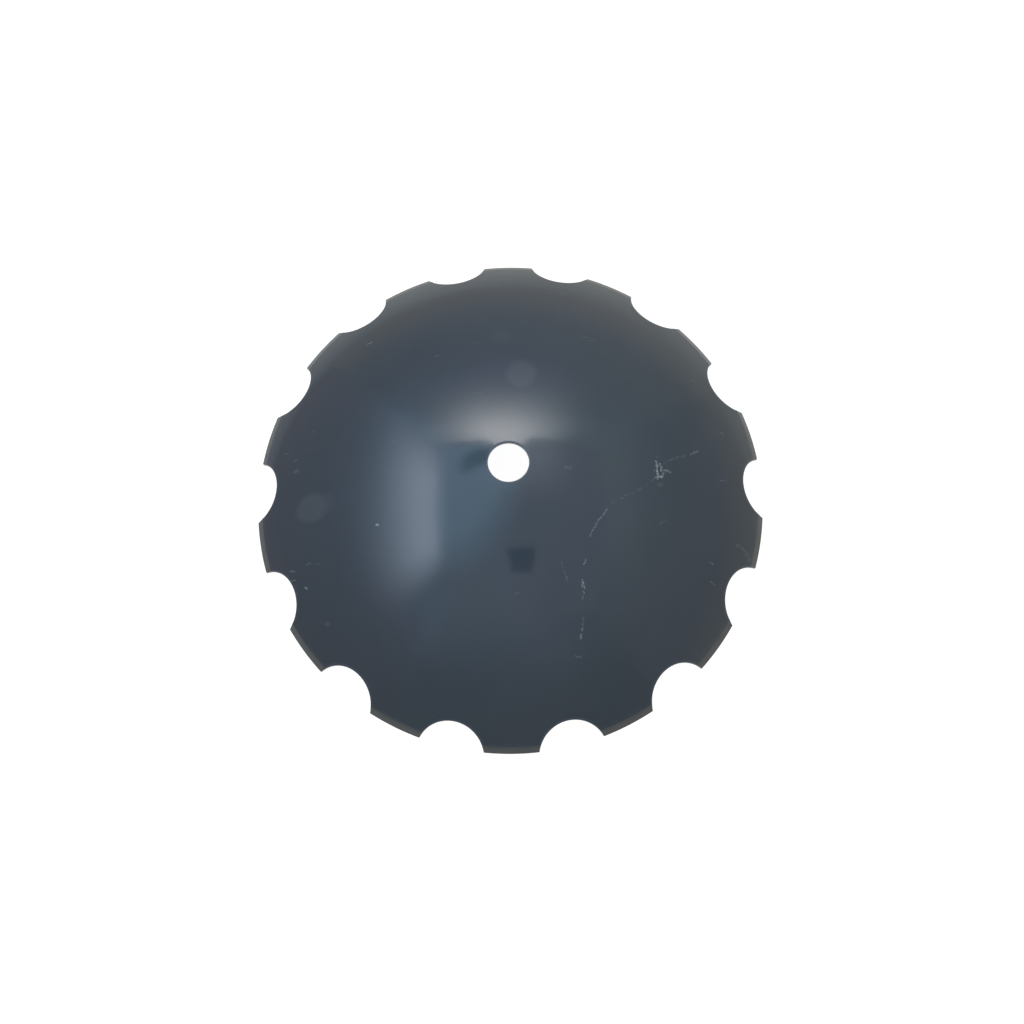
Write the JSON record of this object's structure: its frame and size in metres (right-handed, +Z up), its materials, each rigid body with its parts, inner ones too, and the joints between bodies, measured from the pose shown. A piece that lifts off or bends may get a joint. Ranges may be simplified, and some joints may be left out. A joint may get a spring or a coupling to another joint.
{
  "type": "harrow disc blade",
  "caption": "Dished round steel soil-cutting blade with scalloped, bevelled rim and a round centre bore for a gang axle",
  "frame": {"origin": "centre of the rim plane, on the surface that the tooth tips stand on", "axes": "+Z runs up the bore axis, from the rim plane to the crown; +X runs through the middle of a notch, +Y through the middle of a tooth"},
  "size_m": [0.6054, 0.6098, 0.1164],
  "materials": {
    "painted_steel": "semi-gloss"
  },
  "bodies": {
    "root": {"disc_blade": "painted_steel"}
  },
  "joints": []
}
